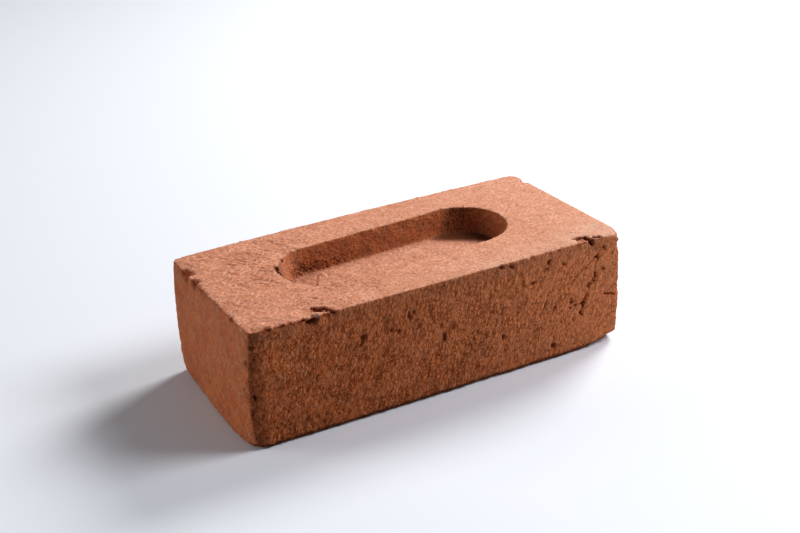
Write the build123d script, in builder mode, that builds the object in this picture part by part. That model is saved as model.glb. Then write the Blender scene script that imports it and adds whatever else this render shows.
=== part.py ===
"""A frogged clay brick, moulded and fired in one piece. Millimetres, +Z up.

The brick lies on its bed with the frog open upwards. The origin is at the centre of the lower
bed, X runs along the two stretcher faces and Y across the two header faces.
"""
from build123d import *
import os

# The brick's upper bed, and its height from bed to bed
length = 230.0
width = 108.0
height = 70.0

# How moulding, drying and handling left its faces and edges
stretcher_bow = 1.5
stretcher_lean = 1.5
header_swell = 1.5
corner_radius = 5.0
upper_arris_radius = 1.5
lower_arris_radius = 2.5

# The frog, pressed into the upper bed by a block that sat a little askew
frog_length = 141.0
frog_width = 50.0
frog_depth = 14.0
frog_draft = 18.0
frog_turn = 2.5
frog_rim_radius = 1.2
frog_root_radius = 2.5

# The two broken corners of the front right upright edge: how far each break runs from its corner
upper_break_along = 11.0
upper_break_across = 6.0
upper_break_down = 3.0
lower_break_along = 18.0
lower_break_across = 9.0
lower_break_up = 9.0

half_length = length / 2
half_width = width / 2


def break_plane(corner, along, across, rise):
    """The plane through the points where a break leaves the three edges of a front right corner."""
    on_long_edge = corner - Vector(along, 0, 0)
    on_short_edge = corner + Vector(0, across, 0)
    on_upright_edge = corner + Vector(0, 0, rise)
    normal = (on_short_edge - on_long_edge).cross(on_upright_edge - on_long_edge)
    into_the_brick = Vector(-1, 1, 0)
    if normal.dot(into_the_brick) < 0:
        normal = -normal
    return Plane(origin=on_long_edge, z_dir=normal)


def half_width_at(level):
    """Half the width at mid-length: the stretcher faces lean in towards the lower bed."""
    return half_width - stretcher_lean * (1 - level / height)


def half_length_at(level):
    """Half the length: the header faces swell out between the beds."""
    return half_length + header_swell * 4 * (level / height) * (1 - level / height)


with BuildPart() as brick:
    # Plans at the lower bed, at mid-height and at the upper bed, joined by a loft. Each has straight
    # header sides, and stretcher sides that bow out towards mid-length
    for level in (0, height / 2, height):
        side_x = half_length_at(level)
        middle_y = half_width_at(level)
        end_y = middle_y - stretcher_bow
        with BuildSketch(Plane.XY.offset(level)) as plan:
            with BuildLine():
                right_header = Line((side_x, -end_y), (side_x, end_y))
                back_stretcher = ThreePointArc(right_header @ 1, (0, middle_y), (-side_x, end_y))
                left_header = Line(back_stretcher @ 1, (-side_x, -end_y))
                ThreePointArc(left_header @ 1, (0, -middle_y), right_header @ 0)
            make_face()
            fillet(plan.vertices(), corner_radius)
    loft()
    fillet(brick.edges().group_by(Axis.Z)[0], lower_arris_radius)
    fillet(brick.edges().group_by(Axis.Z)[-1], upper_arris_radius)

    # Frog: a slot with half-round ends, whose wall closes in towards its floor
    with BuildSketch(Plane.XY.offset(height)):
        SlotOverall(frog_length, frog_width, rotation=frog_turn)
    extrude(amount=-frog_depth, taper=frog_draft, mode=Mode.SUBTRACT)
    frog_floor = brick.faces().filter_by(Plane.XY).sort_by(Axis.Z)[1]
    fillet(frog_floor.edges(), frog_root_radius)
    upper_bed = brick.faces().filter_by(Plane.XY).sort_by(Axis.Z)[-1]
    fillet(upper_bed.inner_wires()[0].edges(), frog_rim_radius)

    # Broken corners
    upper_corner = Vector(half_length_at(height), stretcher_bow - half_width_at(height), height)
    split(bisect_by=break_plane(upper_corner, upper_break_along, upper_break_across, -upper_break_down))
    lower_corner = Vector(half_length_at(0), stretcher_bow - half_width_at(0), 0)
    split(bisect_by=break_plane(lower_corner, lower_break_along, lower_break_across, lower_break_up))

brick.part.label = "brick"

os.makedirs("parts", exist_ok=True)
export_step(brick.part, "parts/brick.step")
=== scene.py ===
import bpy
import numpy as np
from mathutils import Matrix, Vector


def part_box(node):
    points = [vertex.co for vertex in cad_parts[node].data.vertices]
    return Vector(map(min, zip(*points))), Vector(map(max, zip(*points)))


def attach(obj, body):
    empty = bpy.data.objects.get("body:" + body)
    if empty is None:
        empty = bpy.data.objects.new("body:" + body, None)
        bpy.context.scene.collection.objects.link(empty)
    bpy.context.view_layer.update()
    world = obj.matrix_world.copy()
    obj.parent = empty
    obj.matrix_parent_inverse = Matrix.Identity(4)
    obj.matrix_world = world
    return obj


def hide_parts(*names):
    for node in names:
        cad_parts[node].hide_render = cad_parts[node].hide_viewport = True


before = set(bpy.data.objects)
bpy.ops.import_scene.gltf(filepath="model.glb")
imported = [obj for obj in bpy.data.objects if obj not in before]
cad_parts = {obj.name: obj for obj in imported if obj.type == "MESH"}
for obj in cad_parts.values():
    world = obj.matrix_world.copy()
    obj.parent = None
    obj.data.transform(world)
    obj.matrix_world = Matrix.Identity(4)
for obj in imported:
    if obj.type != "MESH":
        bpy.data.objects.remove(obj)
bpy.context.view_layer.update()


# The brick as it left the mould: a block of sandy clay with bowed stretcher faces, rounded upright
# corners and a frog pressed into its upper bed. Its surface is worked out as closed rings, from the
# middle of the frog's floor, over the bed and down the faces, to the middle of the lower bed.
high_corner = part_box("brick")[1]
header_swell = 0.0015
half_length = high_corner.x - header_swell
half_width = high_corner.y
height = high_corner.z
stretcher_bow = 0.0015
stretcher_lean = 0.0015
corner_radius = 0.004
upper_arris_radius = 0.0011
lower_arris_radius = 0.0028
frog_half_line = 0.0448  # half the line between the centres of its two round ends
frog_radius = 0.0257
frog_depth = 0.0148
frog_wall_inset = 0.0050
frog_turn = np.radians(2.5)
frog_back = 0.0016
frog_right = 0.0009
frog_rim_radius = 0.0009
frog_root_radius = 0.0030
side_spokes = 354
end_spokes = 166
ring_points = 2 * (side_spokes + end_spokes)
halving_rounds = 40


def spokes():
    """Start and direction of each spoke of the plan.

    Points evenly spaced along a rectangle of the brick's size, turned with the frog, are joined to
    the nearest point of the frog's middle line, which lies frog_back behind the rectangle's and runs
    frog_right further out at the right. The start is that point, and the direction leads away from
    it, so spokes are parallel beside the frog and fan out from its two ends.
    """
    along = ((np.arange(side_spokes) + 0.5) / side_spokes * 2 - 1) * half_length
    across = ((np.arange(end_spokes) + 0.5) / end_spokes * 2 - 1) * half_width
    right_x = np.full(end_spokes, half_length)
    front_y = np.full(side_spokes, -half_width)
    x = np.concatenate([along, right_x, -along, -right_x])
    y = np.concatenate([front_y, across, -front_y, -across])
    start_x = np.clip(x, -frog_half_line, frog_half_line + frog_right)
    away = np.stack([x - start_x, y - frog_back], axis=1)
    away /= np.linalg.norm(away, axis=1, keepdims=True)
    start = np.stack([start_x, np.full(ring_points, frog_back)], axis=1)
    turned = np.array([[np.cos(frog_turn), np.sin(frog_turn)], [-np.sin(frog_turn), np.cos(frog_turn)]])
    return start @ turned, away @ turned


def outside_plan(x, y, inset):
    """Distance outside the plan's outline, drawn in by inset: a rectangle whose long sides bow out
    by a parabola and whose corners are rounded. Negative inside."""
    bowed_half_width = half_width - stretcher_bow * (x / half_length) ** 2
    over_x = np.abs(x) - (half_length - corner_radius)
    over_y = np.abs(y) - (bowed_half_width - corner_radius)
    corner = np.hypot(np.maximum(over_x, 0), np.maximum(over_y, 0))
    return corner + np.minimum(np.maximum(over_x, over_y), 0) - corner_radius + inset


def reach(inset):
    """How far along each spoke the inset outline lies. Each round takes the middle between a distance
    that is inside the outline and one that is outside it, and puts it in the place of one of them."""
    near = np.zeros(ring_points)
    far = np.full(ring_points, half_length + half_width)
    for _ in range(halving_rounds):
        middle = (near + far) / 2
        at = spoke_start + spoke_way * middle[:, None]
        outside = outside_plan(at[:, 0], at[:, 1], inset) > 0
        far = np.where(outside, middle, far)
        near = np.where(outside, near, middle)
    return near


def rounded(before, corner, after, radius, steps):
    """Points of the arc that rounds a corner of a section. Its centre lies on the line that halves
    the corner, its ends touch both sides, and its angle goes evenly from one end to the other."""
    before, corner, after = (np.array(point, float) for point in (before, corner, after))
    back = (before - corner) / np.linalg.norm(before - corner)
    on = (after - corner) / np.linalg.norm(after - corner)
    half_angle = np.arccos(np.clip(back @ on, -1, 1)) / 2
    middle = (back + on) / np.linalg.norm(back + on)
    centre = corner + middle * radius / np.sin(half_angle)
    first = corner + back * radius / np.tan(half_angle) - centre
    last = corner + on * radius / np.tan(half_angle) - centre
    sweep = np.pi - 2 * half_angle
    share = np.linspace(0, 1, steps)[:, None]
    return centre + (np.sin((1 - share) * sweep) * first + np.sin(share * sweep) * last) / np.sin(sweep)


def evenly(first, last, steps):
    """Points at even steps along a straight part of a section, without its two ends."""
    share = np.linspace(0, 1, steps + 2)[1:-1, None]
    return np.array(first) + (np.array(last) - np.array(first)) * share


spoke_start, spoke_way = spokes()

# Frog and rim, as (distance along the spoke, height)
floor_height = height - frog_depth
foot = (frog_radius - frog_wall_inset, floor_height)
rim = (frog_radius, height)
floor_steps = 20
root_steps = 5
wall_steps = 34
rim_steps = 4
root_arc = rounded((0, floor_height), foot, rim, frog_root_radius, root_steps)
rim_arc = rounded(foot, rim, (half_width, height), frog_rim_radius, rim_steps)
frog_section = np.vstack([
    [(0, floor_height)],
    evenly((0, floor_height), root_arc[0], floor_steps),
    root_arc,
    evenly(root_arc[-1], rim_arc[0], wall_steps),
    rim_arc,
])
# Faces and arrises, as (inset from the outline, height)
upper_steps = 5
face_steps = 98
lower_steps = 6
upper_arc = rounded((half_width, height), (0, height), (0, 0), upper_arris_radius, upper_steps)
lower_arc = rounded((0, height), (0, 0), (half_width, 0), lower_arris_radius, lower_steps)
face_section = np.vstack([upper_arc, evenly(upper_arc[-1], lower_arc[0], face_steps), lower_arc])

bed_steps = 52
under_steps = 34
frog_reach = frog_section[:, :1] + np.zeros(ring_points)
face_reach = np.array([reach(inset) for inset in face_section[:, 0]])
bed_share = np.linspace(0, 1, bed_steps + 2)[1:-1, None]
bed_reach = frog_reach[-1] + (face_reach[0] - frog_reach[-1]) * bed_share
under_reach = face_reach[-1] * np.linspace(1, 0, under_steps + 1)[1:, None]
ring_reach = np.vstack([frog_reach, bed_reach, face_reach, under_reach])
ring_height = np.concatenate([
    frog_section[:, 1], np.full(bed_steps, height), face_section[:, 1], np.zeros(under_steps),
])
ring_count = len(ring_height)
block = np.empty((ring_count, ring_points, 3))
block[..., :2] = spoke_start + spoke_way * ring_reach[..., None]
block[..., 2] = ring_height[:, None]


def outward(surface):
    """Unit normals of a surface given as rings: the cross product of its slopes along the spokes
    and round the rings. The first and last ring are flat, so theirs are straight up and down."""
    round_slope = np.roll(surface, -1, axis=1) - np.roll(surface, 1, axis=1)
    spoke_slope = np.gradient(surface, axis=0)
    normal = np.cross(spoke_slope, round_slope)
    normal[0] = (0, 0, 1)
    normal[-1] = (0, 0, -1)
    return normal / np.linalg.norm(normal, axis=2, keepdims=True)


def softened(directions, spread):
    """Unit directions averaged over spread rings and spread spokes on each side, so that those on
    both sides of an arris lean the same way."""
    round_mean = sum(np.roll(directions, k, axis=1) for k in range(-spread, spread + 1))
    padded = np.pad(round_mean, ((spread, spread), (0, 0), (0, 0)), mode="edge")
    mean = sum(padded[k:k + len(directions)] for k in range(2 * spread + 1))
    return mean / np.linalg.norm(mean, axis=2, keepdims=True)


arris_spread = 5
facing = outward(block)
inward = -softened(facing, arris_spread).reshape(-1, 3)
facing = facing.reshape(-1, 3)
points = block.reshape(-1, 3)


def smooth_step(value, start, end):
    """0 before start, 1 after end, and between them the share of the way squared, times three less
    twice that share."""
    share = np.clip((value - start) / (end - start), 0, 1)
    return share * share * (3 - 2 * share)


# The faces as drying and firing left them. Each sum says how far a face stands out from the block:
# what it bows, turns, leans, spreads at its foot and swells. The left header's foot flares in front
# of its middle, and its front corner is drawn in.
front_bow = 0.0007
front_turn = 0.0009
front_lean = stretcher_lean - 0.0005
front_twist = 0.0006
back_bow = 0.0003
back_turn = 0.0003
left_bow = 0.0009
left_turn = 0.0005
left_foot = 0.0007
left_swell = 0.0018
wide_flare = 0.0019
short_flare = 0.0007
corner_drawn_in = 0.0010
right_turn = 0.0009
right_foot = 0.0011
right_swell = 0.0014
across = points[:, 1] / half_width
along = points[:, 0] / half_length
rise = points[:, 2] / height
front_out = front_bow * along**2 + front_turn * along - (front_lean - front_twist * along) * (1 - rise)
back_out = -back_bow * along**2 + back_turn * along - stretcher_lean * (1 - rise)
left_out = -left_bow * across**2 + left_turn * across + left_foot * (1 - rise)
left_out = left_out + left_swell * 4 * rise * (1 - rise)
flare = wide_flare * smooth_step(-across, -0.7, 0.9) + short_flare * smooth_step(-across, -0.4, 0.1)
flare *= 1 - smooth_step(-across, 0.62, 0.95)
flare -= corner_drawn_in * smooth_step(-across, 0.78, 1.0)
left_out += flare * (1 - rise) ** 4
right_out = -right_turn * across + right_foot * (1 - rise) + right_swell * 4 * rise * (1 - rise)
fired = points.copy()
fired[:, 0] += along * np.where(along > 0, right_out, left_out)
fired[:, 1] += across * np.where(across > 0, back_out, front_out)


# The fired skin. The stretchers were dragged against the mould's sides and are torn and pitted, the
# headers came off nearly clean, and both beds were sanded: small pits and short wrinkles are left.
def lumps(place, cell, seed):
    """Smooth random lumps between -1 and 1. Random heights stand at the corners of a lattice of
    cells, turned off the brick's axes, and are blended between them with smooth steps."""
    cells = 64
    draw = np.random.default_rng(seed)
    table = draw.uniform(-1, 1, (cells, cells, cells))
    turn, _ = np.linalg.qr(draw.normal(size=(3, 3)))
    scaled = (place @ turn) / cell
    low = np.floor(scaled).astype(int)
    part = scaled - low
    part = part * part * (3 - 2 * part)
    total = np.zeros(len(place))
    for corner in np.ndindex(2, 2, 2):
        spot = (low + corner) % cells
        weight = np.prod(np.where(corner, part, 1 - part), axis=1)
        total += weight * table[spot[:, 0], spot[:, 1], spot[:, 2]]
    return total


def layered(place, cell, seed, layers=3, keep=0.5):
    """Lumps on lumps: each layer is twice as fine as the last and keep times as high."""
    total = np.zeros(len(place))
    for layer in range(layers):
        total += keep**layer * lumps(place, cell / 2**layer, seed + layer)
    return total


def pits(place, cell, seed, share, smallest, largest):
    """Bowl-shaped pits, up to 1 deep and 0 outside. Each cell of a lattice holds one random point, a
    share of them are pits, and their radii lie between two shares of the cell. A pit is as deep as
    a little over one less the square of the distance to its middle, in radii."""
    cells = 48
    a_little_over_one = 1.15
    lattice = (cells, cells, cells)
    draw = np.random.default_rng(seed)
    middle = draw.uniform(0.25, 0.75, (*lattice, 3))
    radius = draw.uniform(smallest, largest, lattice)
    strength = draw.uniform(0.5, 1.0, lattice) * (draw.uniform(0, 1, lattice) < share)
    turn, _ = np.linalg.qr(draw.normal(size=(3, 3)))
    scaled = (place @ turn) / cell
    low = np.floor(scaled).astype(int)
    part = scaled - low
    deepest = np.zeros(len(place))
    for step in np.ndindex(3, 3, 3):
        offset = np.array(step) - 1
        spot = (low + offset) % cells
        index = (spot[:, 0], spot[:, 1], spot[:, 2])
        gap = np.linalg.norm(part - offset - middle[index], axis=1) / radius[index]
        deepest = np.maximum(deepest, strength[index] * np.clip(a_little_over_one - gap**2, 0, 1))
    return deepest


def crumbs(place, cell, seed):
    """Crumbs packed side by side, as (swell, level, gap). One random point stands in each cell of a
    lattice, and each place belongs to its nearest one. The swell is 1 inside a crumb and falls to 0
    where the two nearest points are equally far, the level is the crumb's own random height, and
    the gap is 1 on the line between crumbs. Lumps shift the places first, so no edge is straight."""
    cells = 48
    swell_width = 0.55
    gap_width = 0.16
    shifted_by = 0.35
    too_far = 9.0
    draw = np.random.default_rng(seed)
    middle = draw.uniform(0.1, 0.9, (cells, cells, cells, 3))
    height_of = draw.uniform(-1, 1, (cells, cells, cells))
    turn, _ = np.linalg.qr(draw.normal(size=(3, 3)))
    scaled = (place @ turn) / cell
    shifts = [lumps(place, 0.6 * cell, seed + k) for k in (1, 2, 3)]
    scaled += shifted_by * np.stack(shifts, axis=1)
    low = np.floor(scaled).astype(int)
    part = scaled - low
    nearest = np.full(len(place), too_far)
    second = np.full(len(place), too_far)
    level = np.zeros(len(place))
    for step in np.ndindex(3, 3, 3):
        offset = np.array(step) - 1
        spot = (low + offset) % cells
        index = (spot[:, 0], spot[:, 1], spot[:, 2])
        gap = np.linalg.norm(part - offset - middle[index], axis=1)
        closer = gap < nearest
        second = np.where(closer, nearest, np.minimum(second, gap))
        level = np.where(closer, height_of[index], level)
        nearest = np.where(closer, gap, nearest)
    swell = np.clip((second - nearest) / swell_width, 0, 1)
    gap = np.clip(1 - (second - nearest) / gap_width, 0, 1)
    return 1 - (1 - swell) ** 2, level, gap


ring_number = np.repeat(np.arange(ring_count), ring_points)
in_frog = ring_number < len(frog_section) - 1
on_top = smooth_step(facing[:, 2], 0.55, 0.95)
on_under = smooth_step(-facing[:, 2], 0.4, 0.9)
on_stretcher = smooth_step(np.abs(facing[:, 1]), 0.30, 0.75) * ~in_frog
on_header = smooth_step(np.abs(facing[:, 0]), 0.50, 0.9) * ~in_frog
on_wall = in_frog * (1 - on_top)
leftward = smooth_step(-fired[:, 0], -0.03, 0.08)

# How near each point is to an arris, an upright edge or the frog's rim: 1 on the edge, fading as a
# bell curve of the width given for each
upper_wear = 0.0022
lower_wear = 0.0030
upright_wear = 0.0050
rim_wear = 0.0016
plan_inset = np.maximum(-outside_plan(points[:, 0], points[:, 1], 0), 0)
to_side = half_width - stretcher_bow * along**2 - np.abs(points[:, 1])
near_upper = np.exp(-(np.hypot(plan_inset, height - points[:, 2]) / upper_wear) ** 2)
near_lower = np.exp(-(np.hypot(plan_inset, points[:, 2]) / lower_wear) ** 2)
near_upright = np.exp(-(np.hypot(half_length - np.abs(points[:, 0]), to_side) / upright_wear) ** 2)
near_rim = np.exp(-(np.hypot(ring_reach.ravel() - frog_radius, height - points[:, 2]) / rim_wear) ** 2)

# Stretchers: torn skin, drawn out upwards and leaning over towards the right
lean = 0.12 + 0.30 * smooth_step(fired[:, 0], -0.02, 0.10)
squash = 0.46
torn_height = 0.00022
crumb_height = 0.00044
crumb_unevenness = 0.00026
fine_height = 0.00019
drag_pit_depth = 0.00075
big_pit_depth = 0.0012
drawn = fired.copy()
drawn[:, 0] -= lean * fired[:, 2]
drawn[:, 2] *= squash
torn = layered(drawn, cell=0.0036, seed=11, layers=3, keep=0.7)
swell, level, seam = crumbs(drawn, cell=0.0023, seed=21)
rough_patch = smooth_step(layered(fired, cell=0.0120, seed=41, layers=3, keep=0.6), -0.7, 0.6)
drag_pit = pits(drawn, cell=0.0034, seed=51, share=0.34, smallest=0.16, largest=0.42)
big_pit = pits(drawn, cell=0.0110, seed=61, share=0.22, smallest=0.08, largest=0.15)
fine = lumps(fired, cell=0.0014, seed=71)
quiet = 0.75 + 0.25 * smooth_step(height - fired[:, 2], 0.001, 0.009)
quiet *= 1 - 0.18 * smooth_step(fired[:, 0], 0.02, 0.09)
stretcher_depth = quiet * (
    -torn_height * torn
    + (0.30 + 0.70 * rough_patch)
    * (-crumb_height * swell - crumb_unevenness * level + drag_pit_depth * drag_pit)
    - fine_height * fine
) + big_pit_depth * big_pit

# Beds: sandy, wrinkled and crumbly towards the left end
sand_height = 0.00016
wrinkle_height = 0.00025
bed_fine_height = 0.00004
bed_crumb_height = 0.00050
bed_crumb_unevenness = 0.00033
sand_pit_depth = 0.00044
wrinkled = np.stack([
    0.40 * (fired[:, 0] - fired[:, 1]),
    0.75 * (fired[:, 0] + fired[:, 1]),
    fired[:, 2],
], axis=1)
bed_swell, bed_level, bed_seam = crumbs(wrinkled, cell=0.0021, seed=81)
crumbly = smooth_step(layered(fired, cell=0.0110, seed=91, layers=3), -0.6, 0.7)
crumbly = crumbly * (0.18 + 0.82 * leftward)
sand_pit = pits(fired, cell=0.0036, seed=101, share=0.34, smallest=0.12, largest=0.28)
calm_edge = 0.25 + 0.75 * smooth_step(plan_inset, 0.001, 0.006)
bed_depth = calm_edge * (
    -sand_height * layered(fired, cell=0.0028, seed=111, layers=2) * (0.5 + leftward)
    - wrinkle_height * layered(wrinkled, cell=0.0060, seed=211, layers=2) * (0.55 + 0.45 * leftward)
    - bed_fine_height * fine
    + crumbly * (-bed_crumb_height * bed_swell - bed_crumb_unevenness * bed_level)
    + sand_pit_depth * sand_pit * (0.4 + 0.6 * leftward)
)

# Headers: nearly smooth, with faint upright lines
line_height = 0.00011
dent_height = 0.00026
header_fine_height = 0.00008
header_pit_depth = 0.0006
upright = fired * np.array([1.0, 1.0, 0.12])
header_pit = pits(fired, cell=0.0080, seed=141, share=0.25, smallest=0.07, largest=0.16)
header_depth = (
    -line_height * layered(upright, cell=0.0030, seed=121, layers=2)
    - dent_height * layered(fired, cell=0.0090, seed=131, layers=3)
    - header_fine_height * fine
    + header_pit_depth * header_pit
)

# The frog's wall: grainy and stained, torn near the left part of its far foot
wall_stain = smooth_step(layered(fired, cell=0.0048, seed=241, layers=3, keep=0.6), 0.1, 1.0)
foot_tear = (
    smooth_step(floor_height + 0.008 - fired[:, 2], 0, 0.004)
    * smooth_step(fired[:, 1], 0.006, 0.012)
    * smooth_step(fired[:, 0], -0.062, -0.054)
    * smooth_step(-fired[:, 0], 0.00, 0.03)
)
grain_height = 0.00030
grain_unevenness = 0.00014
wall_dent_height = 0.00026
tear_depth = 0.0007
tear_unevenness = 0.0004
grain_swell, grain_level, grain_seam = crumbs(fired, cell=0.0017, seed=221)
grainy = 0.30 + 0.70 * smooth_step(fired[:, 0], -0.064, -0.052)
uneven = layered(fired, cell=0.0030, seed=231, layers=2)
wall_depth = grainy * (
    -wall_dent_height * layered(fired, cell=0.0050, seed=181, layers=3)
    - grain_height * grain_swell
    - grain_unevenness * grain_level
    + foot_tear * (tear_depth * (1 - grain_swell) + tear_unevenness * uneven)
)

depth = (
    on_stretcher * stretcher_depth
    + on_header * header_depth
    + (on_top + on_under) * bed_depth
    + on_wall * wall_depth
)

# Arrises and rim: wavy, and nicked where the brick was handled. The front right upright edge is
# worn rounder towards its top.
wave = 0.5 + 0.5 * lumps(fired, cell=0.0110, seed=191)
nick = np.clip(layered(fired, cell=0.0045, seed=151, layers=3, keep=0.65) - 0.10, 0, 1.1)
handled = 0.12 + 0.88 * np.maximum(
    smooth_step(-fired[:, 0], 0.105, 0.112) * smooth_step(-fired[:, 1], -0.045, -0.025),
    smooth_step(-fired[:, 1], 0.044, 0.050),
)
worn_round = 0.0007


def worn(near, nicked, waved):
    """How deep an edge is worn: near times the sum of its nicks and its waves, of the depths given."""
    return near * (nicked * nick + waved * wave)


bite = worn(near_upper * handled, nicked=0.0011, waved=0.0005)
bite += worn(near_lower * (1 + 0.8 * on_header), nicked=0.0007, waved=0.0003)
bite += worn(near_upright * np.where(fired[:, 0] < 0, 1.0, 0.4), nicked=0.0010, waved=0.0004)
bite += worn(near_rim, nicked=0.0006, waved=0.0003)
bite += worn_round * near_upright * rise * (fired[:, 0] > 0) * (fired[:, 1] < 0)

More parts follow.
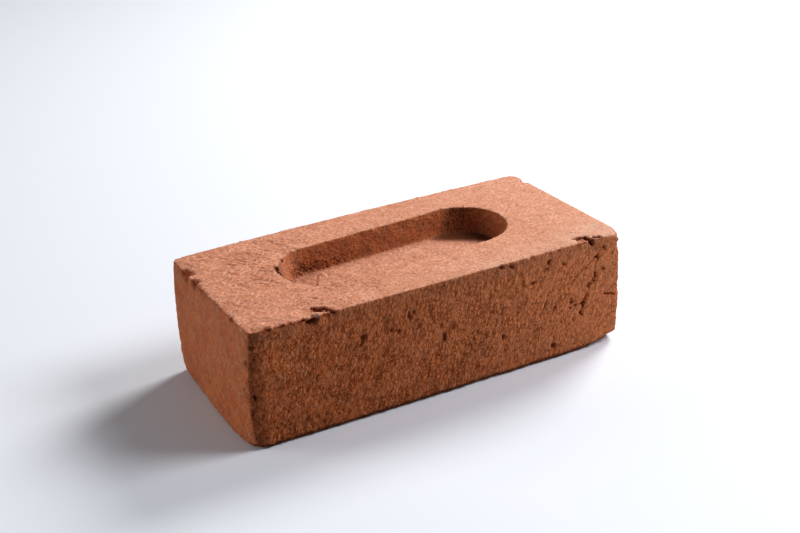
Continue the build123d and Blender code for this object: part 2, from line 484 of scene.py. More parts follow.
# The larger chips and pits, each a scoop listed here: (x, y, z), half widths along x, y and z,
# and depth, in mm. A negative depth is a lip or a crumb that stands up beside a chip.
mm = 0.001
scoops = np.array([
    # upper front arris, left third: the hole beside a lifted flap, and smaller chips
    (-79.0, -55.0, 68.4, 4.4, 3.2, 3.4, 5.0), (-70.5, -54.0, 69.2, 4.4, 2.0, 1.6, 1.3),
    (-85.2, -54.0, 70.2, 2.4, 2.2, 2.2, 1.9), (-91.0, -54.0, 70.4, 3.0, 2.2, 2.0, 1.3),
    (-97.4, -53.6, 70.4, 3.5, 2.4, 2.2, 1.7), (-104.2, -53.0, 70.4, 3.5, 2.6, 2.4, 1.9),
    (-62, -54.5, 69.5, 3.2, 1.2, 1.8, 0.6), (-72.8, -47.6, 70, 3.0, 2.0, 1.2, 1.3),
    # upper front arris, right end: the hole below a crevice, and the crumbled strip beside it
    (95.4, -54.0, 68.6, 1.9, 2.6, 2.4, 3.4), (88.6, -54.4, 69.0, 5.0, 1.8, 1.8, 1.2),
    (90.4, -51.6, 70, 4.6, 2.4, 1.4, 1.2),
    (85.4, -54.6, 69.2, 0.9, 0.9, 0.9, -0.5), (90.2, -54.6, 68.2, 1.0, 0.9, 0.8, -0.6),
    (74, -54.4, 69, 2.4, 1.4, 1.4, 1.0), (64, -54.6, 70, 2.0, 1.2, 1.4, 0.7),
    (33.4, -54.8, 70, 2.6, 1.2, 1.5, 0.7), (50, -54.6, 70, 3.4, 1.1, 1.4, 0.5),
    # upper left arris: two wide flakes, and smaller ones
    (-115.2, 31, 70.2, 4.4, 6.0, 4.0, 2.0), (-115.4, 18, 69.8, 3.2, 4.4, 3.6, 1.8),
    (-111.2, 26.8, 70.2, 1.8, 1.8, 1.6, 1.3), (-115.4, 6, 70, 1.8, 2.6, 2.0, 1.0),
    (-114.7, -32.5, 69.5, 1.8, 3.0, 2.4, 1.5), (-115, -12, 70, 1.4, 3.0, 1.8, 0.7),
    (-102.3, 53.4, 70, 2.2, 1.6, 1.6, 0.9),
    # upper right arris, and a crumb on the upright edge below its front corner
    (113.5, 40, 70, 2.6, 4.4, 2.4, 1.2), (114.8, -51.6, 64.6, 1.9, 1.7, 1.8, -1.3),
    # rim of the frog
    (-70.2, 5.0, 69.6, 1.8, 3.4, 2.0, 2.4), (-70.0, -1.4, 69.4, 1.5, 2.2, 2.0, 2.0),
    (-69.0, -11.0, 69.6, 1.2, 1.5, 1.8, 1.6), (-63.2, 18.0, 69.5, 1.4, 1.4, 1.8, 1.6),
    (-61, -20.3, 70, 3.2, 1.6, 2.0, 0.6),
    (53.6, 24.4, 70, 2.0, 1.3, 1.8, 1.0), (47.2, 26.6, 70, 1.8, 1.2, 1.8, 0.9),
    (-20, 25, 70, 1.6, 1.2, 1.6, 0.8), (-12, 25.2, 70, 1.4, 1.2, 1.6, 0.8),
    (14, 26.0, 70, 1.8, 1.2, 1.6, 0.8), (30, 26.6, 70, 1.2, 1.0, 1.4, 0.6),
    # foot of the frog's far wall, and its floor
    (-50, 18.6, 58.6, 2.4, 1.8, 1.8, 1.1), (-45, 19.4, 58.8, 2.4, 1.8, 2.2, 1.3),
    (-40.5, 20, 59.4, 2.0, 1.8, 2.0, 1.2), (-34, 20.4, 59, 1.6, 1.6, 1.8, 0.9),
    (-28.5, 20.4, 58.6, 1.8, 1.6, 1.6, 0.8), (-39.6, 15.2, 55.4, 1.4, 2.4, 1.0, -0.6),
    # bed
    (88, 9.5, 70, 0.9, 1.4, 1.2, 0.7), (16, -30.3, 70, 0.9, 0.9, 1.2, 0.6),
    (17.5, -34, 70, 0.8, 0.8, 1.2, 0.5),
    # front stretcher
    (90.8, -54, 31.2, 1.2, 2, 2.6, 2), (89.4, -54, 25.0, 1.0, 2, 2.2, 1.8),
    (86.4, -54, 30.4, 1.5, 2, 1.1, 1.7), (81.5, -54, 30.5, 0.9, 2, 1.5, 1.3),
    (84.6, -54, 21.9, 0.9, 2, 1.8, 1.2), (94.2, -54, 41.5, 1.2, 2, 2, 1.9),
    (82.3, -54, 34.6, 1, 2, 1.8, 1.6), (98.2, -54, 46.1, 1.2, 2, 1.8, 1.8),
    (104.4, -54, 49.5, 1, 2, 1.5, 1.4), (99.9, -54, 58.4, 1.2, 2, 2.2, 2),
    (70.7, -54, 8.9, 1.8, 2, 1.4, 2.2), (71.2, -54, 13.9, 0.7, 2, 2.6, 1.5),
    (65.6, -54, 63.2, 1.2, 2, 2, 2), (65.7, -54, 59, 1, 2, 1.8, 1.7),
    (55.2, -54, 53.4, 1.5, 2, 1.7, 2), (41.3, -54, 66.8, 1.6, 2, 1.5, 1.7),
    (34.8, -54, 68.4, 1.8, 2, 1.3, 1.7), (76.2, -54, 60.4, 1, 2, 1.6, 1.4),
    (-33.5, -54, 49.3, 1.9, 2, 1.8, 1.4), (-29.4, -54, 48.3, 1.7, 2, 1.9, 1.5),
    (3.6, -54, 40.5, 2.2, 2, 1.9, 1.2), (-1.1, -54, 36.3, 1, 2, 2.6, 1.9),
    (20, -54, 32.7, 1.1, 2, 1.7, 1.6), (35.9, -54, 25, 1.1, 2, 1.6, 1.6),
    (-22.3, -54, 55.9, 1, 2, 2.6, 1.5), (104.3, -54, 63.3, 1, 2, 2.4, 1.6),
    (-50.4, -54, 49.6, 2, 2, 1.8, 1.9), (-52.1, -54, 46.7, 1.2, 2, 2.2, 1.6),
    (-92.5, -54, 43.5, 1.4, 2, 1.7, 1.7), (-85.7, -54, 25.7, 1.6, 2, 2, 1.9),
    (-88.5, -54, 21.6, 1.2, 2, 1.8, 1.5), (-72.8, -54, 11.4, 1.8, 2, 1.4, 1.5),
    (-102, -54, 27.1, 1.2, 2, 1.5, 1.4), (-94.5, -54, 54.6, 1.1, 2, 1.5, 1.3),
    (-65.2, -54, 42.8, 1.3, 2, 1.6, 1.5),
    # upright edge between the front and the left header
    (-113.5, -52.5, 32.4, 1.3, 1.3, 1.5, 2.2), (-115.5, -49.2, 51.6, 1.0, 1.3, 2.4, 1.3),
    (-115.5, -46.6, 34.5, 1.0, 1.3, 3.0, 1.4), (-114.6, -50.6, 22, 1.3, 1.3, 2.4, 1.4),
    (-115.4, -48.0, 58.0, 1.0, 1.1, 1.8, 1.2), (-114.4, -51.5, 42, 1.0, 1.1, 1.8, 1.2),
    (-113, -52, 10, 1.6, 1.6, 2.4, 1.2),
    # lower arrises
    (-115, -36.5, 2.5, 2, 2.6, 2.2, 0.8), (-113, -50, 3.0, 2.2, 2.2, 2.0, 0.8),
    (-114.5, -45, 1.6, 0.8, 1.2, 0.8, -0.5), (-108, -53, 1.4, 1.2, 0.8, 0.8, -0.5),
    (-115, 27, 3, 2, 3.0, 2.4, 0.6), (-80, -54, 1.5, 4.0, 2, 1.6, 0.5),
]) * mm
raggedness = 0.0011
raw_from = 0.0030  # a chip this deep shows raw clay
shifts = [layered(fired, cell=0.0024, seed=161 + 4 * k, layers=2, keep=0.7) for k in range(3)]
ragged = fired + raggedness * np.stack(shifts, axis=1)
chip = np.zeros(len(fired))
for scoop in scoops:
    centre, half_widths, deepest = scoop[:3], scoop[3:6], scoop[6]
    across_scoop = np.linalg.norm((ragged - centre) / half_widths, axis=1)
    bowl = np.sqrt(np.clip(1 - across_scoop**2, 0, 1))
    bite += deepest * bowl
    chip = np.maximum(chip, np.clip(deepest / raw_from, 0, 1) * bowl)


def crack(first, last, width, deep):
    """A bowl-shaped groove along the line between two points in mm. Its half width and depth are in
    metres, and the depth falls with the distance to the nearest point of the line, as the square
    root of one less the square of that distance in half widths."""
    first = np.array(first) * mm
    run = np.array(last) * mm - first
    at = (fired + ragged) / 2 - first
    share = np.clip((at @ run) / (run @ run), 0, 1)
    away = np.linalg.norm(at - share[:, None] * run, axis=1)
    return deep * np.sqrt(np.clip(1 - (away / width) ** 2, 0, 1))


crevices = (
    # the lifted flap at the front left, and the crack that leads from it to the arris
    crack((-75.2, -44.6, 70), (-69.8, -47.4, 70), 0.0014, 0.0024)
    + crack((-76.2, -47.0, 70), (-70.2, -50.8, 70), 0.0009, 0.0018)
    + crack((-69.6, -47.4, 70), (-66.6, -53.4, 70), 0.0015, 0.0020)
    # the crevice behind the broken strip at the front right
    + crack((87.0, -48.0, 70), (94.6, -48.8, 70), 0.0011, 0.0028)
    + crack((93.8, -49.4, 70), (95.8, -53.6, 70), 0.0014, 0.0028)
    + crack((98.2, -51.8, 70), (101.6, -53.2, 70), 0.0010, 0.0020)
    # the torn end of the frog's rim, and the slit across its floor, which is 55.2 mm up
    + crack((-69.9, 9.2, 69.8), (-70.4, 4.0, 69.4), 0.0017, 0.0017)
    + crack((-70.4, 4.0, 69.4), (-70.2, -4.0, 69.0), 0.0016, 0.0015)
    + crack((-70.0, -6.4, 69.8), (-69.6, -9.6, 69.8), 0.0009, 0.0010)
    + crack((-42.0, 17.4, 55.2), (-48.8, 4.6, 55.2), 0.0007, 0.0006)
)
cracks = (
    # the branching crack at the front's right end, and fine cracks over the rest of it
    crack((98.0, -54, 58.0), (85.1, -54, 49.6), 0.0006, 0.0009)
    + crack((85.1, -54, 49.6), (81.8, -54, 45.8), 0.0006, 0.0009)
    + crack((99.8, -54, 59.3), (98.1, -54, 46.2), 0.0006, 0.0006) * smooth_step(fine, -0.3, 0.2)
    + crack((98.1, -54, 46.2), (91.0, -54, 31.1), 0.0007, 0.0009) * smooth_step(fine, -0.4, 0.1)
    + crack((92.8, -54, 34.0), (89.2, -54, 24.5), 0.0007, 0.0004)
    + crack((106.2, -54, 33.2), (113.6, -54, 30.7), 0.0007, 0.0012)
    + crack((66, -54, 40), (60, -54, 30), 0.0007, 0.0008)
    + crack((30, -54, 47), (25, -54, 36), 0.0007, 0.0007)
    + crack((-30, -54, 42), (-27, -54, 20), 0.0008, 0.0005)
    + crack((70, -54, 9), (72, -54, 17), 0.0007, 0.0007)
    + crack((-97, 17.5, 70), (-91.5, 13.5, 70), 0.0008, 0.0006)
)
lips = (
    # the edge of the lifted flap
    crack((-77.4, -49.6, 70), (-75.8, -52.4, 70), 0.0013, 0.0011)
    + crack((-75.8, -52.4, 70), (-75.4, -54.4, 68.8), 0.0012, 0.0008)
    # crumbs along the front arris, right of the middle, pale partly as a painted highlight
    + crack((31.5, -53.4, 70), (39.5, -53.8, 70), 0.0008, 0.0004)
    + crack((84.6, -51.6, 70), (85.6, -53.6, 69.6), 0.0007, 0.0004)
    + crack((88.5, -54.2, 68.6), (91.5, -54.4, 68), 0.0006, 0.0003)
)
lips *= 0.3 + 0.7 * smooth_step(fine, -0.4, 0.3)
bite += crevices + cracks - lips
dark_from = 0.0018  # a crevice this deep is dark
pale_from = 0.0007  # a lip this high is pale
chip = np.maximum(chip, np.clip((crevices + 0.8 * cracks) / dark_from, 0, 1))
lip_pale_and_highlight = np.clip(lips / pale_from, 0, 1)

shaped = fired - facing * depth[:, None] + inward * bite[:, None]


# Two corners of the front right upright edge are broken off along rough planes
break_roughness = 0.0004


def broken(surface, corner, along_run, across_run, rise_run):
    """Moves the points outside a break back onto its plane, which cuts the corner's three edges at
    the given distances from it. Lumps, added to each point's distance outside, make it rough."""
    corner = np.array(corner)
    on_long_edge = corner - (along_run, 0, 0)
    on_short_edge = corner + (0, across_run, 0)
    on_upright_edge = corner + (0, 0, rise_run)
    out_of_the_brick = np.array([1, -1, 0])
    normal = np.cross(on_short_edge - on_long_edge, on_upright_edge - on_long_edge)
    normal /= np.linalg.norm(normal)
    normal *= np.sign(normal @ out_of_the_brick)
    bumps = break_roughness * layered(surface, cell=0.0045, seed=171, layers=3, keep=0.6)
    over = (surface - on_long_edge) @ normal + bumps
    return surface - np.maximum(over, 0)[:, None] * normal


header_half_width = half_width - stretcher_bow
upper_corner = (half_length, -header_half_width, height)
lower_corner = (half_length, -header_half_width, 0)
shaped = broken(shaped, upper_corner, along_run=0.011, across_run=0.006, rise_run=-0.003)
shaped = broken(shaped, lower_corner, along_run=0.0240, across_run=0.0078, rise_run=0.0058)
shaped[:, 2] = np.maximum(shaped[:, 2], 0.0)

# What the material takes from the shape: painted shade in hollows, seams and shaded parts, stains on
# the frog's wall, where the pale sand coat and a greyish film lie, with painted light and shade on the
# frog's wall where it faces right, pale crumbs and painted edge highlights, and where the skin is torn
front_side = on_stretcher * (facing[:, 1] < 0)
# the frog's right end: painted shade on its far wall, and a painted shadow on its floor up to a
# slanting edge
wall_edge = 0.0415
wall_edge_slant = 0.55
floor_edge = (0.0441, 0.0161)
floor_edge_way = (0.551, 0.835)
past_wall_edge = fired[:, 0] - wall_edge - wall_edge_slant * (fired[:, 2] - floor_height)
painted_shade_wall_end = smooth_step(past_wall_edge, -0.003, 0.005) * (1 - smooth_step(past_wall_edge, 0.009, 0.022))
painted_shade_wall_end *= fired[:, 1] > 0.012
past_floor_edge = (
    floor_edge_way[0] * (fired[:, 0] - floor_edge[0])
    + floor_edge_way[1] * (fired[:, 1] - floor_edge[1])
)
painted_shadow_floor = in_frog * on_top * smooth_step(fired[:, 0], 0.031, 0.043)
painted_shadow_floor = painted_shadow_floor * smooth_step(past_floor_edge, -0.003, 0.003)
# the torn end of the rim, a dark groove partly of raw clay and partly painted shade, the painted shade
# along the near lip, and the darker floor on the left of the slit
torn_rim = crack((-69.7, 9.2, 69.2), (-70.0, -4.4, 68.2), 0.0030, 1.0) * smooth_step(fine, -0.7, 0.2)
near_lip_shade = near_rim * smooth_step(-fired[:, 1], 0.012, 0.020) * smooth_step(-fired[:, 0], 0.036, 0.048)
slit_at = (-0.0413, 0.0169)
slit_side = (-0.88, 0.476)
beside_slit = slit_side[0] * (fired[:, 0] - slit_at[0]) + slit_side[1] * (fired[:, 1] - slit_at[1])
slit_patch = in_frog * on_top * smooth_step(beside_slit, 0, 0.0012)
slit_patch = slit_patch * smooth_step(-fired[:, 0], 0.036, 0.042)
# the painted shadow line where the brick stands, the back of the left header, darker towards the back,
# and the painted shade band at the front's left end
foot_shadow_line = smooth_step(0.0034 - fired[:, 2], 0, 0.0014) * (fired[:, 1] < -0.045) * (1 - on_under)
back_left = on_header * smooth_step(-fired[:, 0], 0, 0.1) * smooth_step(fired[:, 1], 0.010, 0.045)
front_left_shade_band = smooth_step(-facing[:, 1], 0.45, 0.75) * ~in_frog
front_left_shade_band = front_left_shade_band * smooth_step(-fired[:, 0], 0.104, 0.111)
# Painted shade on the frog's wall: in its grain seams and torn foot, and at its dark right end
wall_painted_shade = (
    grainy * (0.40 * grain_seam + 0.45 * foot_tear * grain_seam + 0.05 * foot_tear)
    + 0.58 * painted_shade_wall_end
)
# Darker: painted shade in pits, seams, crevices, chips and nicks, on the left and right ends of the
# frog's wall, along the frog's near lip and in the band at the front's left end, and a painted shadow
# on the frog's right end floor and along the brick's foot; also the frog wall's real stains, the floor
# left of the slit and the back of the left header
painted_shade_and_stain = np.clip(
    on_stretcher * quiet * (
        (0.5 + 0.5 * rough_patch) * (0.45 * drag_pit + 0.22 * seam) + 0.9 * big_pit - 0.05 * torn
    )
    + on_wall * wall_painted_shade
    + on_wall * (0.25 * wall_stain + 0.42 * smooth_step(-fired[:, 0], 0.061, 0.067))
    + 0.62 * torn_rim
    + on_top * (0.32 * crumbly * bed_seam + 0.5 * sand_pit)
    + 0.80 * painted_shadow_floor + 0.32 * slit_patch + 0.30 * near_lip_shade + foot_shadow_line + 0.12 * back_left
    + on_header * 0.8 * header_pit
    + 0.40 * front_left_shade_band
    + 0.15 * chip + 0.85 * chip**3 + 0.30 * on_stretcher * chip
    + 0.20 * nick * (0.3 * near_upper + near_rim + near_upright),
    0, 1,
)
# The pale sand coat lies on the beds and thinly on the frog's wall. Where the wall faces right, towards
# the lamps, the extra coat is painted light
sand_coat_and_wall_light = np.clip(on_top + on_wall * (0.12 + 0.24 * smooth_step(facing[:, 0], 0.0, 0.7)), 0, 1)
sand_coat_and_wall_light *= (1 - 0.8 * chip) * (1 - 0.8 * painted_shadow_floor)
right_corner = np.array([0.106, -0.046, 0.070])
corner_film_width = 0.016
edge_film_height = 0.005
rightward = smooth_step(fired[:, 0], -0.09, 0.115)
corner_film = np.exp(-(np.linalg.norm(fired - right_corner, axis=1) / corner_film_width) ** 2)
edge_film = np.exp(-((height - 0.003 - fired[:, 2]) / edge_film_height) ** 2)
# A greyish film over the top's right corner and right part, below the front's upper arris and up the
# header. On the frog's wall, where it faces right, it is painted shade
film_and_wall_shade = np.clip(
    0.9 * on_top * corner_film
    + on_top * rightward * (0.30 + 0.5 * smooth_step(-fired[:, 1], 0.030, 0.052))
    + 0.45 * front_side * edge_film
    + 0.30 * on_header * rise
    + 0.30 * on_wall * smooth_step(facing[:, 0], 0.3, 0.9),
    0, 1,
)
dust = on_stretcher * rightward
edge_highlight_spot = np.clip(lumps(fired, cell=0.0022, seed=201) - 0.50, 0, 0.4) / 0.4
# Pale crumbs and painted edge highlights: the lips' pale tops, partly painted highlight, and pale spots
# along the arrises, which are painted highlights
pale_crumbs_and_edge_highlight = np.clip(
    lip_pale_and_highlight + 0.5 * edge_highlight_spot * (near_upper * handled + 0.6 * near_lower),
    0, 1,
)


def closed_mesh(name, surface):
    """A mesh with a quad between each point, the two on the next ring, and the next on its own ring.
    The rings go out over the bed and down, so this order turns every quad outwards."""
    count, around = surface.shape[:2]
    row = np.arange(count - 1)[:, None] * around
    here = np.arange(around)[None, :]
    after = (here + 1) % around
    quads = np.stack([row + here, row + around + here, row + around + after, row + after], axis=2)
    mesh = bpy.data.meshes.new(name)
    mesh.vertices.add(count * around)
    mesh.vertices.foreach_set("co", surface.astype(np.float32).ravel())
    mesh.loops.add(quads.size)
    mesh.loops.foreach_set("vertex_index", quads.astype(np.int32).ravel())
    mesh.polygons.add(quads.size // 4)
    mesh.polygons.foreach_set("loop_start", np.arange(0, quads.size, 4, dtype=np.int32))
    mesh.update(calc_edges=True)
    return mesh


mesh = closed_mesh("rings", shaped.reshape(block.shape))
rough = np.clip(on_stretcher * (0.35 + 0.65 * quiet) + 0.15 * on_wall, 0, 1)
kept = {
    "painted_shade_and_stain": painted_shade_and_stain,
    "sand_coat_and_wall_light": sand_coat_and_wall_light,
    "film_and_wall_shade": film_and_wall_shade,
    "rough": rough,
    "dust": dust,
    "pale_crumbs_and_edge_highlight": pale_crumbs_and_edge_highlight,
    "chip": chip,
    "smooth": on_header,
}
for name, values in kept.items():
    layer = mesh.attributes.new(name, "FLOAT", "POINT")
    layer.data.foreach_set("value", values.astype(np.float32))
brick = bpy.data.objects.new("fired_brick", mesh)
bpy.context.scene.collection.objects.link(brick)
# The weld closes the middle of both beds, and the thinning leaves under 200,000 triangles
weld_gap = 1e-6
kept_share = 0.365
weld = brick.modifiers.new("weld", "WELD")
weld.merge_threshold = weld_gap
thin = brick.modifiers.new("thin", "DECIMATE")
thin.ratio = kept_share
posed = brick.evaluated_get(bpy.context.evaluated_depsgraph_get())
finished = bpy.data.meshes.new_from_object(posed)
brick.modifiers.clear()
brick.data = finished
bpy.data.meshes.remove(mesh)
finished.name = "fired_brick"
finished.shade_smooth()

# The clay: a rust-brown body, torn and crumbly on the stretchers, with a paler coat of moulding sand
# on the bed and a thin film and dust towards the right. Shade is painted into its hollows and crevices,
# light onto the frog's wall where it faces right, and highlights onto its edges
clay = bpy.data.materials.new("fired_clay")
clay.use_nodes = True
nodes = clay.node_tree.nodes
links = clay.node_tree.links
shader = nodes["Principled BSDF"]
place = nodes.new("ShaderNodeTexCoord").outputs["Object"]


def put(value, socket):
    """Links a node's output to a socket, or sets the socket to a plain value."""
    if isinstance(value, bpy.types.NodeSocket):
        links.new(value, socket)
    else:
        socket.default_value = value


def drawn_out(squash, lean):
    """The place on the brick, drawn out along an axis whose squash is below 1, and leaning over by an
    angle about the brick's width."""
    tilt = nodes.new("ShaderNodeMapping")
    tilt.inputs["Rotation"].default_value = (0, lean, 0)
    links.new(place, tilt.inputs["Vector"])
    stretch = nodes.new("ShaderNodeMapping")
    stretch.inputs["Scale"].default_value = squash
    links.new(tilt.outputs["Vector"], stretch.inputs["Vector"])
    return stretch.outputs["Vector"]


def mottle(size, detail=2.0, rough=0.5, squash=(1, 1, 1), lean=0.0):
    """Noise whose lumps are about size metres across."""
    noise = nodes.new("ShaderNodeTexNoise")
    noise.inputs["Scale"].default_value = 1 / size
    noise.inputs["Detail"].default_value = detail
    noise.inputs["Roughness"].default_value = rough
    links.new(drawn_out(squash, lean), noise.inputs["Vector"])
    return noise.outputs["Fac"]


def crumble(size, squash=(1, 1, 1), lean=0.0):
    """Crumbs about size metres across, packed side by side: the distance of each place to the nearest
    border between two, in crumb sizes, and a random tone for each crumb."""
    stirred_by = 1.4 * size
    spot = drawn_out(squash, lean)
    stir = nodes.new("ShaderNodeTexNoise")
    stir.inputs["Scale"].default_value = 1 / size
    links.new(spot, stir.inputs["Vector"])
    stirred = nodes.new("ShaderNodeVectorMath")
    stirred.operation = "MULTIPLY_ADD"
    links.new(stir.outputs["Color"], stirred.inputs[0])
    stirred.inputs[1].default_value = (stirred_by, stirred_by, stirred_by)
    links.new(spot, stirred.inputs[2])
    found = []
    for feature, output in (("DISTANCE_TO_EDGE", "Distance"), ("F1", "Color")):
        cells = nodes.new("ShaderNodeTexVoronoi")
        cells.feature = feature
        cells.inputs["Scale"].default_value = 1 / size
        links.new(stirred.outputs["Vector"], cells.inputs["Vector"])
        found.append(cells.outputs[output])
    return found


def between(value, low, high, first=0.0, last=1.0):
    """Carries value from the range low to high over to first to last, with a smooth step."""
    node = nodes.new("ShaderNodeMapRange")
    node.interpolation_type = "SMOOTHSTEP"
    for name, number in (("From Min", low), ("From Max", high), ("To Min", first), ("To Max", last)):
        node.inputs[name].default_value = number
    links.new(value, node.inputs["Value"])
    return node.outputs["Result"]


def sums(kind, first, second):
    """Adds, subtracts or multiplies two values."""
    node = nodes.new("ShaderNodeMath")
    node.operation = kind
    put(first, node.inputs[0])
    put(second, node.inputs[1])
    return node.outputs["Value"]


def laid_over(share, under, over):
    """One colour laid over another by share. A mix node keeps its colours on the sockets named here."""
    share_socket, under_socket, over_socket, result_socket = 0, 6, 7, 2
    node = nodes.new("ShaderNodeMix")
    node.data_type = "RGBA"
    put(share, node.inputs[share_socket])
    put(under, node.inputs[under_socket])
    put(over, node.inputs[over_socket])
    return node.outputs[result_socket]


def worked_in(name):
    """A value that was worked out with the surface and is kept on its points."""
    node = nodes.new("ShaderNodeAttribute")
    node.attribute_name = name
    return node.outputs["Fac"]


# The body's colours, whole and torn, then the sand's, the film's, the dark of painted shade in
# hollows and crevices, and the pale of crumbs and painted edge highlights
rust = (0.45, 0.138, 0.048, 1)
brown = (0.37, 0.128, 0.056, 1)
torn_rust = (0.57, 0.185, 0.067, 1)
torn_brown = (0.51, 0.173, 0.069, 1)
raw = (0.42, 0.100, 0.034, 1)
dusty = (0.76, 0.305, 0.145, 1)
salmon = (0.578, 0.244, 0.151, 1)
sand = (0.780, 0.405, 0.279, 1)
warm_sand = (0.55, 0.225, 0.122, 1)
pale_film = (0.66, 0.385, 0.280, 1)
side_film = (0.29, 0.125, 0.072, 1)
dark_speck_and_shade = (0.060, 0.014, 0.004, 1)
deep = (0.200, 0.040, 0.008, 1)
crest = (0.56, 0.245, 0.135, 1)
pale_lip_and_highlight = (0.80, 0.46, 0.33, 1)

grain_lean = np.radians(-18)
rough_skin = worked_in("rough")
patch_share = between(mottle(0.0130, detail=2.0, rough=0.6), 0.36, 0.62, first=0.72, last=1.0)
patches = sums("MULTIPLY", rough_skin, patch_share)
patches = sums("MULTIPLY", patches, between(worked_in("dust"), 0.4, 1.0, first=1.0, last=0.78))
fibre = mottle(0.0018, detail=3.0, rough=0.68, squash=(1, 1, 0.56), lean=grain_lean)
border, tone = crumble(0.0022, squash=(1, 1, 0.60), lean=grain_lean)
blotch = between(mottle(0.0090, detail=3.0, rough=0.6), 0.40, 0.62)
whole_skin = laid_over(blotch, rust, brown)
torn_skin = laid_over(blotch, torn_rust, torn_brown)
body_colour = laid_over(rough_skin, whole_skin, torn_skin)
upright_lines = mottle(0.0016, detail=4.0, rough=0.7, squash=(1, 1, 0.55))
streak = between(upright_lines, 0.38, 0.62, first=0.0, last=0.60)
body_colour = laid_over(sums("MULTIPLY", streak, worked_in("smooth")), body_colour, crest)
upright_stains = mottle(0.0060, detail=4.0, rough=0.65, squash=(1, 1, 0.7))
stain = between(upright_stains, 0.44, 0.66, first=0.0, last=0.58)
body_colour = laid_over(sums("MULTIPLY", stain, worked_in("smooth")), body_colour, raw)
body_colour = laid_over(sums("MULTIPLY", worked_in("dust"), 0.46), body_colour, dusty)
crumb_crest = sums("MULTIPLY", between(tone, 0.52, 0.74, first=0.0, last=0.36), patches)
body_colour = laid_over(crumb_crest, body_colour, crest)
# Painted shade in the torn skin: the fibres darken where their relief is low, and the borders between
# crumbs darken as shaded crevices
fleck_shade = sums("MULTIPLY", between(fibre, 0.36, 0.52, first=0.75, last=0.0), patches)
body_colour = laid_over(fleck_shade, body_colour, deep)
crumb_border = between(border, 0.02, 0.15, first=0.80, last=0.0)
crevice_shade = sums("MULTIPLY", crumb_border, between(tone, 0.30, 0.62, first=1.0, last=0.10))
body_colour = laid_over(sums("MULTIPLY", crevice_shade, patches), body_colour, deep)
top_colour = laid_over(between(mottle(0.0016, detail=3.0, rough=0.6), 0.38, 0.64), salmon, sand)
small_cloud = between(mottle(0.0065, detail=3.0, rough=0.65), 0.42, 0.64, first=0.0, last=0.50)
top_colour = laid_over(small_cloud, top_colour, warm_sand)
wide_cloud = between(mottle(0.040, detail=2.0), 0.45, 0.75, first=0.0, last=0.35)
top_colour = laid_over(wide_cloud, top_colour, warm_sand)
colour = laid_over(worked_in("sand_coat_and_wall_light"), body_colour, top_colour)
film_colour = laid_over(worked_in("sand_coat_and_wall_light"), side_film, pale_film)
film_patch = between(mottle(0.0050, detail=3.0, rough=0.6), 0.35, 0.60, first=0.35, last=1.0)
film_share = sums("MULTIPLY", worked_in("film_and_wall_shade"), film_patch)
colour = laid_over(film_share, colour, film_colour)
chip_share = between(worked_in("chip"), 0.05, 0.5, first=0.0, last=0.85)
colour = laid_over(chip_share, colour, raw)
specks = between(mottle(0.0013, detail=1.0), 0.64, 0.72, first=0.0, last=0.6)
colour = laid_over(specks, colour, dark_speck_and_shade)
# Pale crumbs and painted edge highlights
colour = laid_over(sums("MULTIPLY", worked_in("pale_crumbs_and_edge_highlight"), 0.8), colour, pale_lip_and_highlight)
# Painted shade in hollows and shaded parts, with the real stains of the frog's wall
colour = laid_over(sums("MULTIPLY", worked_in("painted_shade_and_stain"), 0.87), colour, dark_speck_and_shade)
put(colour, shader.inputs["Base Color"])
matt = between(mottle(0.0040, detail=3.0), 0.30, 0.70, first=0.84, last=0.98)
put(matt, shader.inputs["Roughness"])
faint_gloss = 0.12
shader.inputs["Specular IOR Level"].default_value = faint_gloss
# Relief finer than the mesh: grain all over, and fibres and crumbs on the torn skin
relief_height = 0.0010
grain = sums("MULTIPLY", mottle(0.0012, detail=4.0, rough=0.7), 0.62)
fibres = sums("MULTIPLY", fibre, sums("MULTIPLY", patches, 0.74))
crumb_relief = sums("MULTIPLY", between(border, 0.0, 0.24), sums("MULTIPLY", patches, 0.62))
bump = nodes.new("ShaderNodeBump")
bump.inputs["Strength"].default_value = 1.0
bump.inputs["Distance"].default_value = relief_height
put(sums("ADD", sums("ADD", grain, fibres), crumb_relief), bump.inputs["Height"])
put(bump.outputs["Normal"], shader.inputs["Normal"])
finished.materials.clear()
finished.materials.append(clay)

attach(brick, "root")
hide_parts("brick")


# The ground is a wide pale sheet of matt paper, flat under the brick. It is a stage and no part of
# the brick.
sheet_reach = 6.0
paper_white = (0.78, 0.80, 0.85, 1)
sheet = bpy.data.meshes.new("pale_floor")
sheet.from_pydata(
    [(-sheet_reach, -sheet_reach, 0), (sheet_reach, -sheet_reach, 0),
     (sheet_reach, sheet_reach, 0), (-sheet_reach, sheet_reach, 0)],
    [], [(0, 1, 2, 3)],
)
floor = bpy.data.objects.new("pale_floor", sheet)
bpy.context.scene.collection.objects.link(floor)
paper = bpy.data.materials.new("pale_paper")
paper.use_nodes = True
paper_shader = paper.node_tree.nodes["Principled BSDF"]
paper_shader.inputs["Base Color"].default_value = paper_white
paper_shader.inputs["Roughness"].default_value = 1.0
paper_shader.inputs["Specular IOR Level"].default_value = 0.0
sheet.materials.append(paper)


# The light: two soft lamps stand to the right, one in front of the brick and one behind it, and a
# wide faint one fills from the left. The room adds a little from all sides.
cool_white = (0.95, 0.97, 1.0)
warm_white = (1.0, 0.99, 0.97)
fill_white = (1.0, 0.98, 0.95)
room_white = (0.96, 0.97, 1.0, 1)
room_strength = 0.15


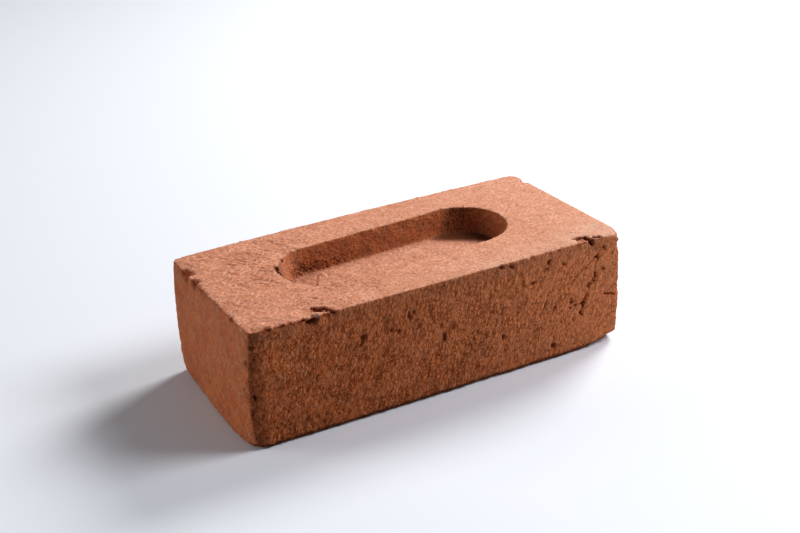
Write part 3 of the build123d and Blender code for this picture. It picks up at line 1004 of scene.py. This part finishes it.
def soft_lamp(name, azimuth, elevation, far, spread, power, tint):
    """A round lamp that faces the brick from far metres off, along the direction that the azimuth and
    elevation in degrees give. As seen from the brick it is spread radians wide."""
    azimuth = np.radians(azimuth)
    elevation = np.radians(elevation)
    toward = Vector((
        np.cos(elevation) * np.cos(azimuth), np.cos(elevation) * np.sin(azimuth), np.sin(elevation),
    ))
    data = bpy.data.lights.new(name, "AREA")
    data.shape = "DISK"
    data.size = spread * far
    data.energy = power
    data.color = tint
    lamp = bpy.data.objects.new(name, data)
    bpy.context.scene.collection.objects.link(lamp)
    lamp.location = toward * far
    lamp.rotation_euler = toward.to_track_quat("Z", "Y").to_euler()


soft_lamp("front_lamp", -24, 42.5, far=1.7, spread=0.47, power=17.5, tint=cool_white)
soft_lamp("back_lamp", 22, 38.5, far=1.7, spread=0.38, power=20.5, tint=warm_white)
soft_lamp("left_fill", 148, 12, far=4.0, spread=0.5, power=66.0, tint=fill_white)
room = bpy.data.worlds.new("room")
bpy.context.scene.world = room
room.use_nodes = True
room_light = room.node_tree.nodes["Background"]
room_light.inputs["Color"].default_value = room_white
room_light.inputs["Strength"].default_value = room_strength
bpy.context.scene.view_settings.view_transform = "Standard"
bpy.context.scene.view_settings.look = "Medium High Contrast"


# The camera stands in front of the brick, to its left, and looks down on it. Its place and lens were
# fitted to the brick's edges.
camera_azimuth = np.radians(-28.683)
camera_elevation = np.radians(25.588)
camera_roll = np.radians(-1.856)
camera_distance = 0.8673
aimed_at = np.array([0.05753, 0.10235, 0.0])
picture_width = 800
focal_pixels = 1300.3
sensor_width = 36.0
back = np.array([
    np.sin(camera_azimuth) * np.cos(camera_elevation),
    -np.cos(camera_azimuth) * np.cos(camera_elevation),
    np.sin(camera_elevation),
])
sideways = np.array([np.cos(camera_azimuth), np.sin(camera_azimuth), 0])
above = np.cross(back, sideways)
placing = np.eye(4)
placing[:3, 0] = sideways * np.cos(camera_roll) + above * np.sin(camera_roll)
placing[:3, 1] = above * np.cos(camera_roll) - sideways * np.sin(camera_roll)
placing[:3, 2] = back
placing[:3, 3] = aimed_at + back * camera_distance
lens = bpy.data.cameras.new("camera")
lens.sensor_width = sensor_width
lens.lens = focal_pixels / picture_width * sensor_width
camera = bpy.data.objects.new("camera", lens)
bpy.context.scene.collection.objects.link(camera)
camera.matrix_world = Matrix(placing.tolist())
bpy.context.scene.camera = camera
